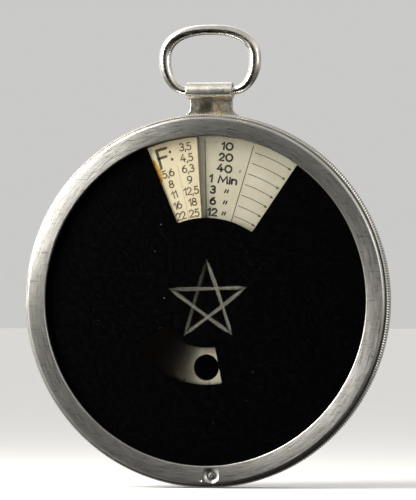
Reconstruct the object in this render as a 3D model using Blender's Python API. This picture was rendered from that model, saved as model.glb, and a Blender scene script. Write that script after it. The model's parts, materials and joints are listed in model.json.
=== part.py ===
"""A pocket extinction exposure meter: a round nickel-plated case worn like a watch.

The back case holds a printed card of exposure times and a sight hole. A knurled ring turns over
it and carries a bezel, a cover glass, the density wedge film and the card of lens stops, so
turning it brings denser film over the sight hole and another column of times beside the stops.
A wire bow swings in a rolled tab at the top.

The frame: +Z up towards the bow, the face looks along -Y, and the origin is the centre of the
case's flat back. Depths are heights above that back, so a depth d lies at y = -d.
Angles on the dial run clockwise from the top, as seen from the front.
"""

import math

import bmesh
import bpy
from mathutils import Vector

MM = 0.001

# Driving dimensions, in millimetres and degrees
GRIP_R = 27.5             # radius over the knurled ring
FACE_H = 7.6              # from the flat back to the front of the bezel
OPENING_R = 24.26         # radius of the bezel's opening
CLEARANCE = 0.1           # between pieces that are fitted into each other
BOW_RISE = 9.0            # from the tab's tube to the middle of the bow's top
TURN = 288.0              # travel of the dial ring: sixteen columns of 18 degrees
SIGHT_R = 9.83            # from the dial's centre to the sight hole
SIGHT_ANGLE = 181.3
SIGHT_HOLE_R = 1.93
STOP_ANGLE = 177.7        # where the bezel screw stands at rest

# Case
CASE_R = GRIP_R - 0.9
CASE_WALL = 0.6
CASE_FLOOR = 0.8
CASE_ROUND = 1.0
CASE_TOP = 4.6
BEARING_OUT_R = CASE_R - CASE_WALL - CLEARANCE
BEARING_IN_R = BEARING_OUT_R - 0.85
BEARING_TOP = 6.0
TRACK_R = BEARING_OUT_R - 0.55
TRACK_H = 5.5
GROOVE = (5.0, 5.4)       # heights of the groove that the retaining wire snaps into
GROOVE_DEPTH = 0.25

# Fastening and eyepiece
FOOT_H = CASE_FLOOR + 0.07    # where the pillars and the sight tube stand
SHANK_R = 0.5                 # of the three screws in the back
SINK_R = 1.3                  # of their countersinks at the back's surface
EYE_RECESS_R = 3.65
EYE_RECESS_DEPTH = 0.45
EYE_BORE_R = 2.7
FILTER_H = (1.75, 2.45)
SMALL_GAP = 0.05              # round a piece that is seated in another

# Dial ring
GRIP_BOTTOM = CASE_TOP + 0.3
GRIP_TOP = 6.85
GRIP_FLANGE_H = 6.1
GRIP_BORE_R = BEARING_OUT_R + 0.15
GRIP_FLANGE_R = BEARING_IN_R - 0.05
BEZEL_BOTTOM = GRIP_TOP + 0.05
BEZEL_R = GRIP_R - 0.55
SCREW_R = 25.7            # from the dial's centre to the bezel screw
SCREW_BORE_R = 0.5
SCREW_HEAD_R = 0.6
DISH_R = 1.15             # of the shallow dish round the bezel screw
GLASS_R = GRIP_FLANGE_R - CLEARANCE

# Cards and sight
PLATE_R = BEARING_IN_R - 0.25
PLATE_H = (4.7, 5.05)
CARD_H = (5.1, 5.3)
STOPS_CARD_H = (5.98, 6.15)
STOPS_CARD_R = (11.4, 24.1)
STOPS_CARD_ANGLES = (-25.0, -3.5)
FILM_H = (6.2, 6.4)
GLASS_H = (6.45, 6.85)
PILLAR_RING_R = 19.0
PILLAR_ANGLES = (0.0, 120.0, 240.0)
PILLAR_R = 1.3

# Tab and bow
WIRE_R = 0.6
TUBE_H = 3.85
TUBE_Z = 30.9
TUBE_LENGTH = 6.9
TUBE_R = 1.22
SHEET = 0.5
FOOT_ANGLE = 10.5         # half the spread of the tab's foot round the case wall

ROUND_STEPS = 72          # facets round the large rings
SMALL_STEPS = 24          # facets round the small turned pieces
SIGHT_STEPS = 32          # facets round the sight's pieces
SPLIT_STEPS = 60          # facets along the split rings


def clear_scene():
    for obj in list(bpy.data.objects):
        bpy.data.objects.remove(obj)


def material(name, colour, roughness, metallic):
    mat = bpy.data.materials.new(name)
    mat.use_nodes = True
    shader = mat.node_tree.nodes["Principled BSDF"]
    shader.inputs["Base Color"].default_value = (*colour, 1.0)
    shader.inputs["Roughness"].default_value = roughness
    shader.inputs["Metallic"].default_value = metallic
    mat.diffuse_color = (*colour, 1.0)
    return mat


def on_dial(radius, angle, height):
    """The point at this radius, clockwise angle and height above the back, in metres."""
    turn = math.radians(angle)
    return Vector((radius * math.sin(turn), -height, radius * math.cos(turn))) * MM


def finish_mesh(name, bm, mat, at=(0, 0, 0), smooth_below=35.0):
    """Closes a bmesh into a named object whose rounded faces shade smooth."""
    bmesh.ops.remove_doubles(bm, verts=bm.verts, dist=1e-7)
    bmesh.ops.recalc_face_normals(bm, faces=bm.faces)
    mesh = bpy.data.meshes.new(name)
    bm.to_mesh(mesh)
    bm.free()
    mesh.shade_smooth()
    mesh.set_sharp_from_angle(angle=math.radians(smooth_below))
    obj = bpy.data.objects.new(name, mesh)
    obj.location = at
    bpy.context.scene.collection.objects.link(obj)
    if mat is not None:
        mesh.materials.append(mat)
    return obj


def profile_edges(bm, profile, angle, closed):
    """The profile's (radius, height) points as a chain of edges, standing at this dial angle."""
    verts = [bm.verts.new(on_dial(r, angle, h)) for r, h in profile]
    pairs = list(zip(verts, verts[1:]))
    if closed:
        pairs.append((verts[-1], verts[0]))
    return verts, [bm.edges.new(pair) for pair in pairs]


def turned(name, profile, mat, steps=ROUND_STEPS, at=(0, 0, 0)):
    """A solid of revolution about Y. A profile that starts and ends on the axis is a full disc."""
    bm = bmesh.new()
    on_axis = profile[0][0] == 0 and profile[-1][0] == 0
    verts, edges = profile_edges(bm, profile, 0.0, closed=not on_axis)
    bmesh.ops.spin(
        bm, geom=verts + edges, cent=(0, 0, 0), axis=(0, 1, 0), angle=2 * math.pi,
        steps=steps, use_merge=True,
    )
    return finish_mesh(name, bm, mat, at)


def sector(name, profile, angles, mat, steps):
    """A closed profile swept through part of a turn about Y, with flat ends."""
    bm = bmesh.new()
    verts, edges = profile_edges(bm, profile, angles[0], closed=True)
    sweep = math.radians(angles[1] - angles[0])
    bmesh.ops.spin(bm, geom=verts + edges, cent=(0, 0, 0), axis=(0, 1, 0), angle=sweep, steps=steps)
    bmesh.ops.holes_fill(bm, edges=[e for e in bm.edges if e.is_boundary])
    return finish_mesh(name, bm, mat)


def prism(name, outline, direction, mat):
    """A flat outline of points, in metres, extruded along direction."""
    bm = bmesh.new()
    face = bm.faces.new([bm.verts.new(p) for p in outline])
    grown = bmesh.ops.extrude_face_region(bm, geom=[face], use_keep_orig=True)
    moved = [g for g in grown["geom"] if isinstance(g, bmesh.types.BMVert)]
    bmesh.ops.translate(bm, verts=moved, vec=direction)
    return finish_mesh(name, bm, mat)


def helper(obj):
    """Marks an object as a tool for a Boolean and not a piece."""
    obj.hide_render = True
    obj.display_type = "WIRE"
    return obj


def boolean(obj, tool, operation="DIFFERENCE"):
    cut = obj.modifiers.new(operation.title() + "_" + tool.name, "BOOLEAN")
    cut.operation = operation
    cut.object = helper(tool)
    return obj


def box_profile(r_in, r_out, low, high):
    return [(r_in, low), (r_out, low), (r_out, high), (r_in, high)]


def disc_profile(radius, low, high):
    return [(0, low), (radius, low), (radius, high), (0, high)]


def arc(centre, radius, start, end, count):
    """Points of an arc in profile coordinates, with angles in degrees from the first axis."""
    found = []
    for i in range(count + 1):
        turn = math.radians(start + (end - start) * i / count)
        found.append((centre[0] + radius * math.cos(turn), centre[1] + radius * math.sin(turn)))
    return found


SIGHT_AT = on_dial(SIGHT_R, SIGHT_ANGLE, 0)


# ---------------------------------------------------------------- the case


def case_back(mat):
    """The pressed dish: floor, rounded corner and wall, pierced for the eyepiece and three screws."""
    corner = arc((CASE_R - CASE_ROUND, CASE_ROUND), CASE_ROUND, -90, 0, 4)
    inside, fillet = CASE_R - CASE_WALL, 0.3
    profile = [(0, 0), *corner, (CASE_R, CASE_TOP), (inside, CASE_TOP)]
    profile += [(inside, CASE_FLOOR + fillet), (inside - fillet, CASE_FLOOR), (0, CASE_FLOOR)]
    dish = turned("case_back", profile, mat)
    below, above = -0.5, CASE_FLOOR + 1.2
    bore = [
        (0, below), (EYE_RECESS_R, below), (EYE_RECESS_R, EYE_RECESS_DEPTH),
        (EYE_BORE_R, EYE_RECESS_DEPTH), (EYE_BORE_R, above), (0, above),
    ]
    boolean(dish, turned("eyepiece_bore_cutter", bore, None, SIGHT_STEPS, SIGHT_AT))
    half = SINK_R / 2
    sink = [(0, below), (SINK_R - below, below), (SINK_R, 0), (half, half), (half, above), (0, above)]
    for i, angle in enumerate(PILLAR_ANGLES):
        place = on_dial(PILLAR_RING_R, angle, 0)
        boolean(dish, turned(f"countersink_cutter_{i + 1}", sink, None, SMALL_STEPS, place))
    return dish


def sight_parts(black, nickel, blue):
    """The eyepiece ring from the back, the blue filter glass and the blackened sight tube."""
    rim, sleeve, sight, funnel = EYE_RECESS_R - SMALL_GAP, EYE_BORE_R - 0.1, 1.85, 2.9
    front, chamfer, seat, end = 0.03, 0.15, EYE_RECESS_DEPTH - SMALL_GAP, FILTER_H[0] - 0.1
    ring = [
        (funnel, front), (rim - chamfer, front), (rim, front + chamfer), (rim, seat),
        (sleeve, seat), (sleeve, end), (sight, end), (sight, front + 0.67),
    ]
    eyepiece = turned("eyepiece_ring", ring, nickel, SIGHT_STEPS, SIGHT_AT)
    pane = disc_profile(sleeve - SMALL_GAP, *FILTER_H)
    glass = turned("filter_glass", pane, blue, SIGHT_STEPS, SIGHT_AT)
    tube_r, throat, shoulder = EYE_BORE_R + 0.6, SIGHT_HOLE_R + 0.02, FILTER_H[1] + 0.1
    wall = [
        (EYE_BORE_R, FOOT_H), (tube_r, FOOT_H), (tube_r, CASE_TOP), (throat, CASE_TOP),
        (throat, shoulder), (EYE_BORE_R, shoulder),
    ]
    tube = turned("sight_tube", wall, black, SIGHT_STEPS, SIGHT_AT)
    return [eyepiece, glass, tube]


def dial_support(brass, steel, card):
    """Three pillars and their screws carry the plate, and the plate carries the card of times."""
    made = []
    top, tapped, depth = PLATE_H[0] - 0.08, SHANK_R + 0.1, 3.5
    post = [(0, top), (PILLAR_R, top), (PILLAR_R, FOOT_H)]
    post += [(tapped, FOOT_H), (tapped, depth), (0, depth + 0.2)]
    for i, angle in enumerate(PILLAR_ANGLES):
        place = on_dial(PILLAR_RING_R, angle, 0)
        made.append(turned(f"dial_pillar_{i + 1}", post, brass, SMALL_STEPS, place))
        made.append(back_screw(f"back_screw_{i + 1}", steel, place))
    for name, (low, high), radius, mat in (
        ("dial_plate", PLATE_H, PLATE_R, brass),
        ("time_card", CARD_H, PLATE_R - 0.2, card),
    ):
        disc = turned(name, disc_profile(radius, low, high), mat)
        through = disc_profile(SIGHT_HOLE_R, low - 0.5, high + 0.5)
        hole = turned(f"{name}_hole_cutter", through, None, SIGHT_STEPS, SIGHT_AT)
        made.append(boolean(disc, hole))
    return made


def back_screw(name, steel, place):
    """A slotted countersunk screw, flush in the back and threaded into its pillar."""
    head_r, low, tip = SINK_R - 0.15, 0.05, 2.9
    neck = low + (head_r - SHANK_R)
    profile = [(0, low), (head_r, low), (SHANK_R, neck), (SHANK_R, tip), (0, tip)]
    screw = turned(name, profile, steel, SMALL_STEPS, place)
    half_long, half_wide, outside, depth = 1.5, 0.14, 0.2, 0.35
    corners = ((-1, -1), (1, -1), (1, 1), (-1, 1))
    outline = [place + Vector((sx * half_long, outside, sz * half_wide)) * MM for sx, sz in corners]
    return boolean(screw, prism(name + "_slot_cutter", outline, (0, -(depth + outside) * MM, 0), None))


def bearing_parts(brass, steel):
    """The ring that the dial ring turns on, its stop track, the retaining wire and the friction spring."""
    low, high = GROOVE
    inner, bottom = BEARING_OUT_R - GROOVE_DEPTH, 3.2
    profile = [
        (BEARING_IN_R, bottom), (BEARING_OUT_R, bottom), (BEARING_OUT_R, low), (inner, low), (inner, high),
        (BEARING_OUT_R, high), (BEARING_OUT_R, BEARING_TOP), (BEARING_IN_R, BEARING_TOP),
    ]
    ring = turned("bearing_ring", profile, brass)
    play, beyond = 1.2, 0.5
    room = box_profile(TRACK_R, BEARING_OUT_R + beyond, TRACK_H, BEARING_TOP + beyond)
    reach = (STOP_ANGLE - TURN - play, STOP_ANGLE + play)
    boolean(ring, sector("stop_track_cutter", room, reach, None, SPLIT_STEPS))
    wire_r, half_thick, gap = (BEARING_OUT_R + GRIP_BORE_R) / 2, 0.17, 8.0
    wire = arc((wire_r, sum(GROOVE) / 2), half_thick, 0, 300, 5)
    ends = (90.0 + gap / 2, 450.0 - gap / 2)
    snap = sector("retaining_wire", wire, ends, steel, ROUND_STEPS - 2)
    return [ring, snap, wave_washer(steel)]


def wave_washer(steel):
    """A thin ring with eight waves, which presses the dial ring so that it stays where it is put."""
    waves, rise, half_thick = 8, 0.04, 0.05
    inner, outer = CASE_R - CASE_WALL + 0.1, CASE_R - 0.05
    middle = (CASE_TOP + GRIP_BOTTOM) / 2
    bm = bmesh.new()
    rings = []
    for i in range(ROUND_STEPS):
        angle = 360.0 * i / ROUND_STEPS
        height = middle + rise * math.sin(math.radians(waves * angle))
        corners = box_profile(inner, outer, height - half_thick, height + half_thick)
        rings.append([bm.verts.new(on_dial(r, angle, h)) for r, h in corners])
    for ring, following in zip(rings, rings[1:] + rings[:1]):
        for k in range(4):
            bm.faces.new((ring[k], ring[(k + 1) % 4], following[(k + 1) % 4], following[k]))
    return finish_mesh("friction_spring", bm, steel)


def pendant(mat):
    """The tab at the top: a foot on the case wall, a flared neck, and the sheet rolled round the bow."""
    rear = TUBE_H - TUBE_R
    half = TUBE_LENGTH / 2
    outer = arc((TUBE_H, TUBE_Z), TUBE_R, 180, -120, 20)
    inner = arc((TUBE_H, TUBE_Z), TUBE_R - SHEET, -120, 180, 20)
    tail = TUBE_Z - TUBE_R
    side = [(rear, tail), *outer, *inner, (rear + SHEET, tail)]
    outline = [Vector((-half, -h, z)) * MM for h, z in side]
    roll = prism("pendant", outline, (TUBE_LENGTH * MM, 0, 0), mat)

    neck_half, flare, neck_low, neck_high = 3.18, 0.85, GRIP_R - 0.55, TUBE_Z - 0.85
    edge = [(neck_half + flare, neck_low)]
    edge += arc((neck_half + flare, GRIP_R + flare), flare, -90, -180, 6)
    edge += [(neck_half, neck_high)]
    shape = edge + [(-x, z) for x, z in reversed(edge)]
    proud = 0.03
    front = [Vector((x, -(rear + SHEET + proud), z)) * MM for x, z in shape]
    boolean(roll, prism("pendant_neck", front, (0, (SHEET + 2 * proud) * MM, 0), None), "UNION")
    foot = box_profile(CASE_R + 0.08, CASE_R + 0.6, 1.5, CASE_TOP - 0.2)
    boolean(roll, sector("pendant_foot", foot, (-FOOT_ANGLE, FOOT_ANGLE), None, 6), "UNION")
    return roll


# ---------------------------------------------------------------- the dial ring, which turns


def grip_ring(mat):
    """The ring that the fingers turn. Its flange carries the glass and the bezel."""
    low, high = GROOVE
    outer, chamfer, shoulder = GRIP_BORE_R + GROOVE_DEPTH, 0.25, 0.35
    profile = [
        (GRIP_BORE_R, GRIP_BOTTOM), (GRIP_R - chamfer, GRIP_BOTTOM), (GRIP_R, GRIP_BOTTOM + chamfer),
        (GRIP_R, GRIP_TOP - 0.3), (GRIP_R - 0.2, GRIP_TOP - 0.2), (GRIP_R - shoulder, GRIP_TOP),
        (GRIP_FLANGE_R, GRIP_TOP), (GRIP_FLANGE_R, GRIP_FLANGE_H), (GRIP_BORE_R, GRIP_FLANGE_H),
        (GRIP_BORE_R, high), (outer, high), (outer, low), (GRIP_BORE_R, low),
    ]
    ring = turned("grip_ring", profile, mat)
    hole = disc_profile(SCREW_BORE_R, GRIP_FLANGE_H - 0.2, GRIP_TOP + 0.35)
    return boolean(ring, turned("grip_hole_cutter", hole, None, SMALL_STEPS, on_dial(SCREW_R, STOP_ANGLE, 0)))


def bezel(mat):
    """The flat front ring, with a rounded outer edge and a shallow dish round its screw."""
    fillet, chamfer = 0.3, 0.12
    edge = arc((BEZEL_R - fillet, FACE_H - fillet), fillet, 0, 90, 4)
    profile = [
        (OPENING_R + 0.08, BEZEL_BOTTOM), (BEZEL_R, BEZEL_BOTTOM), *edge,
        (OPENING_R + chamfer, FACE_H), (OPENING_R, FACE_H - chamfer), (OPENING_R, BEZEL_BOTTOM + 0.1),
    ]
    ring = turned("bezel", profile, mat)
    below, seat, sunk, above, pocket = 6.5, 7.0, 7.28, FACE_H + 0.3, SCREW_HEAD_R + 0.1
    lip = DISH_R + (above - FACE_H) * (DISH_R - pocket) / (FACE_H - sunk)
    dish = [
        (0, below), (SCREW_BORE_R, below), (SCREW_BORE_R, seat), (pocket, seat), (pocket, sunk),
        (DISH_R, FACE_H), (lip, above), (0, above),
    ]
    return boolean(ring, turned("bezel_dish_cutter", dish, None, SMALL_STEPS, on_dial(SCREW_R, STOP_ANGLE, 0)))


def bezel_screw(mat):
    """Holds the bezel to the ring, and its tip runs in the bearing ring's track as the stop."""
    tip_r, tip, shank_r, shank = 0.28, TRACK_H + 0.12, 0.4, 6.25
    seat, crown, dimple = 7.04, 7.42, 7.3
    profile = [
        (0, tip), (tip_r, tip), (tip_r, shank - 0.1), (shank_r, shank), (shank_r, seat),
        (SCREW_HEAD_R, seat), (SCREW_HEAD_R, crown - 0.16), (SCREW_HEAD_R - 0.12, crown - 0.04),
        (0.2, crown), (0.14, dimple), (0, dimple),
    ]
    return turned("bezel_screw", profile, mat, SMALL_STEPS, on_dial(SCREW_R, STOP_ANGLE, 0))


def optics(glass, film, card, steel):
    """The cover glass, the wedge film under it, the card of lens stops and the split retaining ring."""
    ring_r, ring_h = (STOPS_CARD_R[1] + 0.1, GLASS_R - SMALL_GAP), (5.85, 6.15)
    ring_angles = (136.0, 488.0)
    return [
        turned("cover_glass", disc_profile(GLASS_R, *GLASS_H), glass),
        turned("wedge_film", disc_profile(GLASS_R - SMALL_GAP, *FILM_H), film),
        sector("stops_card", box_profile(*STOPS_CARD_R, *STOPS_CARD_H), STOPS_CARD_ANGLES, card, 8),
        sector("glass_retainer", box_profile(*ring_r, *ring_h), ring_angles, steel, SPLIT_STEPS),
    ]


# ---------------------------------------------------------------- the bow


def bow(mat):
    """The wire loop: a straight bar in the tab, thicker cheeks and a broad flat arch."""
    half_wide, half_tall, straight, power = 6.87, BOW_RISE / 2, 3.5, 2.45
    points = []
    arch_steps, corner_steps, bar_steps = 24, 9, 3
    for i in range(arch_steps + 1):
        turn = math.pi * i / arch_steps
        c, s = math.cos(turn), math.sin(turn)
        x = -half_wide * math.copysign(abs(c) ** (2 / power), c)
        points.append((x, half_tall + half_tall * abs(s) ** (2 / power)))
    for i in range(1, corner_steps + 1):
        turn = math.pi / 2 * i / corner_steps
        points.append((straight + (half_wide - straight) * math.cos(turn), half_tall * (1 - math.sin(turn))))
    points += [(straight - 2 * straight * i / bar_steps, 0.0) for i in range(1, bar_steps)]
    for i in range(corner_steps, 0, -1):
        turn = math.pi / 2 * i / corner_steps
        points.append((-straight - (half_wide - straight) * math.cos(turn), half_tall * (1 - math.sin(turn))))
    curve = bpy.data.curves.new("bow", "CURVE")
    curve.dimensions = "3D"
    curve.bevel_depth = WIRE_R * MM
    curve.bevel_resolution = 3
    spline = curve.splines.new("POLY")
    spline.points.add(len(points) - 1)
    spline.use_cyclic_u = True
    for point, (x, z) in zip(spline.points, points):
        point.co = (x * MM, 0, z * MM, 1)
        point.radius = wire_thickness(x, z, half_wide, half_tall)
    curve.materials.append(mat)
    obj = bpy.data.objects.new("bow", curve)
    obj.location = (0, -TUBE_H * MM, TUBE_Z * MM)
    bpy.context.scene.collection.objects.link(obj)
    return obj


def wire_thickness(x, z, half_wide, half_tall):
    """The wire's radius over WIRE_R: thin in the tube, thickest at the cheeks, medium at the top."""
    top, cheek = 1.26, 1.5
    share = min(1.0, z / half_tall)
    if z > half_tall:
        return top + (cheek - top) * (abs(x) / half_wide) ** 2
    return 1.0 + (cheek - 1.0) * math.sin(share * math.pi / 2)


# ---------------------------------------------------------------- assembly


def body(name, at, members):
    """An empty on the body's joint axis, holding the body's pieces where they are."""
    empty = bpy.data.objects.new(name, None)
    empty.location = at
    empty.empty_display_size = 5 * MM
    bpy.context.scene.collection.objects.link(empty)
    for member in members:
        member.location = Vector(member.location) - Vector(at)
        member.parent = empty


def main():
    clear_scene()
    nickel = material("brushed_nickel", (0.66, 0.65, 0.61), 0.34, 1.0)
    bright = material("polished_nickel", (0.74, 0.73, 0.69), 0.16, 1.0)
    brass = material("brass", (0.58, 0.42, 0.19), 0.35, 1.0)
    steel = material("steel", (0.52, 0.51, 0.49), 0.3, 1.0)
    black = material("blackened_brass", (0.012, 0.012, 0.012), 0.6, 0.0)
    card = material("cream_card", (0.76, 0.72, 0.6), 0.8, 0.0)
    blue = material("blue_glass", (0.02, 0.05, 0.32), 0.05, 0.0)
    clear = material("clear_glass", (0.9, 0.92, 0.92), 0.04, 0.0)
    film = material("black_film", (0.006, 0.006, 0.007), 0.25, 0.0)

    fixed = [case_back(nickel), pendant(bright)]
    fixed += sight_parts(black, bright, blue)
    fixed += dial_support(brass, steel, card)
    fixed += bearing_parts(brass, steel)
    body("case", (0, 0, 0), fixed)

    turning = [grip_ring(nickel), bezel(nickel), bezel_screw(steel)]
    turning += optics(clear, film, card, steel)
    body("dial_ring", (0, 0, 0), turning)

    body("bow_pivot", (0, -TUBE_H * MM, TUBE_Z * MM), [bow(bright)])


main()
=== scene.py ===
"""The looks of a pocket extinction exposure meter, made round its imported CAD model.

Lengths are in millimetres until they reach a mesh. As in the CAD, a point's height is counted
from the flat back towards the face, along -Y, and dial angles run clockwise from the top.
"""

import json
import random
from math import atan2, copysign, cos, degrees, pi, radians, sin, sqrt, tau

import bmesh
import bpy
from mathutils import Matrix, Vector


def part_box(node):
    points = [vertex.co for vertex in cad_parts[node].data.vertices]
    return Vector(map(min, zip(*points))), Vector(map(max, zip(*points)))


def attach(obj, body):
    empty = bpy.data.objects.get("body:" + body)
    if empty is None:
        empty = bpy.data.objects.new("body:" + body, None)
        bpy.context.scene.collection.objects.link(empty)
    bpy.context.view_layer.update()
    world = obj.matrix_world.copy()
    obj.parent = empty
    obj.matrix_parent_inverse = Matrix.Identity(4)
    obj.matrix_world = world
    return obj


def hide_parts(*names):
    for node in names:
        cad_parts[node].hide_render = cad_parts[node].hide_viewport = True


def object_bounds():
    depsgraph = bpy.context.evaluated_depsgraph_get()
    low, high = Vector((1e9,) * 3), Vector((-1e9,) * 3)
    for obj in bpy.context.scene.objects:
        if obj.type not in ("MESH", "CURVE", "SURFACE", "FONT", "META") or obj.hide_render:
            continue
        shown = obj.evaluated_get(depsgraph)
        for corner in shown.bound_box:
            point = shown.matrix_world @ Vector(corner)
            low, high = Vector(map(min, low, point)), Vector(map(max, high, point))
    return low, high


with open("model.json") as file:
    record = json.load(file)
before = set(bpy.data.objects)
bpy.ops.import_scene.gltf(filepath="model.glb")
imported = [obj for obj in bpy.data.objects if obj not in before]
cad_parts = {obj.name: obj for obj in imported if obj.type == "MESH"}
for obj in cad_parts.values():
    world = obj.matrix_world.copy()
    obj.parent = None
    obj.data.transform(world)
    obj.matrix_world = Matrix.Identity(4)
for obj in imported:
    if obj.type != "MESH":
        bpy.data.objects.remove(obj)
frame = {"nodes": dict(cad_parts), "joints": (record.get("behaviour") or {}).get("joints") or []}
cad_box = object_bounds()

MM = 0.001


# ---- places read from the frame


def rear(node):
    """Height of the node's rear face over the flat back."""
    return -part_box(node)[1].y / MM


def front(node):
    """Height of the node's front face over the flat back."""
    return -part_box(node)[0].y / MM


def outer_radius(node):
    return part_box(node)[1].x / MM


def joint_point(name):
    return next(Vector(joint["pos_m"]) for joint in frame["joints"] if joint["name"] == name)


FACE_H = front("bezel")
BEZEL_LOW = rear("bezel")
BEZEL_R = outer_radius("bezel")
GRIP_R = outer_radius("grip_ring")
GRIP_LOW, GRIP_HIGH = rear("grip_ring"), front("grip_ring")
CARD_H = front("time_card")
STOPS_H = front("stops_card")
FILM_LOW, FILM_HIGH = rear("wedge_film"), front("wedge_film")
FILM_R = outer_radius("wedge_film")
TUBE = joint_point("bow_swing")
TUBE_H, TUBE_Z = -TUBE.y / MM, TUBE.z / MM
TAB_HALF = 3.45                     # half the length of the roll

OPENING_R = BEZEL_R - 2.69          # inner radius of the bezel
GRIP_INNER_R = GRIP_R - 2.5
KNURL_TEETH = 460
KNURL_DEPTH = 0.17

# Printing on the two cards
ROWS = 7
ROW_TOP = 22.87                     # radius of the outermost row
ROW_PITCH = 1.643
COLUMN = 18.0                       # degrees
COLUMN_START = -1.0                 # the line on the left of the column that shows at rest
LINE_TOP, LINE_END = 23.7, 11.9
PRINT = 0.012                       # how far the ink stands proud, so that it isn't in the card
STOPS_CHIP = (-2.9, 0.36, 0.26)     # a fleck of ink beside 18: its angle, half length and width

# Openings in the black layer of the wedge film
WINDOW_LEFT = (-21.8, -21.0)        # at the outer and the inner end
WINDOW_RIGHT = 34.6
WINDOW_R = (12.17, OPENING_R + 0.3)
WEDGE_R = (6.9, 12.34)
WEDGE_ANGLES = (168.8, 240.0)
WEDGE_CLEAR_TO = 186.0
WEDGE_DENSITY = 0.041               # optical density for each degree past the clear end
STAR_AT = (0.25, -0.07)
STAR_R = 5.95
STAR_TILT = -1.0


# ---- points, meshes and pieces


def on_dial(radius, angle, height):
    """The point at this radius, clockwise angle and height above the back, in metres."""
    turn = radians(angle)
    return Vector((radius * sin(turn), -height, radius * cos(turn))) * MM


def flat(x, z, height):
    return Vector((x, -height, z)) * MM


def outwards(angle):
    """The unit (x, z) vector that points away from the dial's centre at a clockwise angle."""
    turn = radians(angle)
    return Vector((sin(turn), cos(turn)))


def clockwise(outward):
    """The unit (x, z) vector across this one."""
    return Vector((outward.y, -outward.x))


def new_object(name, data):
    obj = bpy.data.objects.new(name, data)
    bpy.context.scene.collection.objects.link(obj)
    return obj


def link(name, mesh, mat, body, smooth=35.0):
    """A shown piece with this mesh, riding on a body."""
    if smooth:
        mesh.shade_smooth()
        mesh.set_sharp_from_angle(angle=radians(smooth))
    mesh.materials.clear()
    mesh.materials.append(mat)
    obj = new_object(name, mesh)
    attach(obj, body)
    return obj


def mesh_from(bm, name, recalculate=True):
    if recalculate:
        bmesh.ops.recalc_face_normals(bm, faces=bm.faces)
    mesh = bpy.data.meshes.new(name)
    bm.to_mesh(mesh)
    bm.free()
    return mesh


def revolved(bm, profile, steps, closed=True, wobble=None):
    """Turns a profile of (radius, height) points round the dial's axis. Gives its rings of points."""
    rings = []
    for i in range(steps):
        angle = 360.0 * i / steps
        spots = [wobble(i, k, r, h) if wobble else (r, h) for k, (r, h) in enumerate(profile)]
        rings.append([bm.verts.new(on_dial(r, angle, h)) for r, h in spots])
    count = len(profile) if closed else len(profile) - 1
    for ring, following in zip(rings, rings[1:] + rings[:1]):
        for k in range(count):
            after = (k + 1) % len(profile)
            bm.faces.new((ring[k], ring[after], following[after], following[k]))
    return rings


def arc(centre, radius, start, end, count):
    """Points of an arc in any flat frame, with angles in degrees from its first axis."""
    found = []
    for i in range(count + 1):
        turn = radians(start + (end - start) * i / count)
        found.append((centre[0] + radius * cos(turn), centre[1] + radius * sin(turn)))
    return found


def evaluated_mesh(obj):
    """The object's mesh with its modifiers, or its curve's surface, as a mesh of its own."""
    graph = bpy.context.evaluated_depsgraph_get()
    return bpy.data.meshes.new_from_object(obj.evaluated_get(graph))


def curve_surface(curve):
    """A curve's filled or bevelled surface, as a mesh."""
    obj = new_object(curve.name, curve)
    mesh = evaluated_mesh(obj)
    bpy.data.objects.remove(obj)
    return mesh


def soften_edges(piece, width):
    """A small bevel along the piece's sharp edges."""
    bevel = piece.modifiers.new("soft_edges", "BEVEL")
    bevel.width = width * MM
    bevel.segments = 3
    bevel.limit_method = "ANGLE"
    bevel.angle_limit = radians(50)


def plate_mesh(name, outlines, low, high):
    """A flat plate between two heights. The outlines after the first one are holes in it.

    The curve is filled at millimetre size, because Blender's fill tolerance suits large shapes.
    """
    curve = bpy.data.curves.new(name, "CURVE")
    curve.dimensions = "2D"
    curve.fill_mode = "BOTH"
    curve.extrude = (high - low) / 2
    for outline in outlines:
        spline = curve.splines.new("POLY")
        spline.points.add(len(outline) - 1)
        spline.use_cyclic_u = True
        for point, (x, z) in zip(spline.points, outline):
            point.co = (x, z, 0, 1)
    mesh = curve_surface(curve)
    middle = (high + low) / 2
    for vert in mesh.vertices:
        x, z, depth = vert.co
        vert.co = flat(x, z, middle + depth)
    return mesh


def polar_arc(radius, start, end, step=1.0):
    """(x, z) points along a circle round the dial's centre."""
    count = max(2, round(abs(end - start) / step))
    angles = [radians(start + (end - start) * i / count) for i in range(count + 1)]
    return [(radius * sin(a), radius * cos(a)) for a in angles]


def rounded(outline, corner, size):
    """The outline with one of its corners, given by its index, rounded off."""
    steps = 5
    before = Vector(outline[corner - 1])
    at = Vector(outline[corner])
    after = Vector(outline[(corner + 1) % len(outline)])
    start = at + (before - at).normalized() * size
    end = at + (after - at).normalized() * size
    curve = []
    for i in range(steps + 1):
        t = i / steps
        curve.append(tuple(start * (1 - t) ** 2 + at * 2 * t * (1 - t) + end * t ** 2))
    return outline[:corner] + curve + outline[corner + 1:]


# ---- shader nodes


def shader_input(mat, socket):
    return mat.node_tree.nodes["Principled BSDF"].inputs[socket.replace("_", " ")]


def new_material(name, colour, roughness, metallic=0.0, **sockets):
    """A Principled material. Other sockets are given by name, with _ for each space."""
    mat = bpy.data.materials.new(name)
    mat.use_nodes = True
    mat.diffuse_color = (*colour, 1.0)
    values = {"Base_Color": (*colour, 1.0), "Roughness": roughness, "Metallic": metallic, **sockets}
    for socket, value in values.items():
        shader_input(mat, socket).default_value = value
    return mat


def add(mat, kind, inputs, **settings):
    """A node. Each input is keyed by name or index, and is a value or another node's output."""
    node = mat.node_tree.nodes.new("ShaderNode" + kind)
    for key, value in settings.items():
        setattr(node, key, value)
    for key, value in inputs.items():
        if isinstance(value, bpy.types.NodeSocket):
            mat.node_tree.links.new(value, node.inputs[key])
        else:
            node.inputs[key].default_value = value
    return node


def maths(mat, operation, *values):
    return add(mat, "Math", dict(enumerate(values)), operation=operation).outputs[0]


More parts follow.
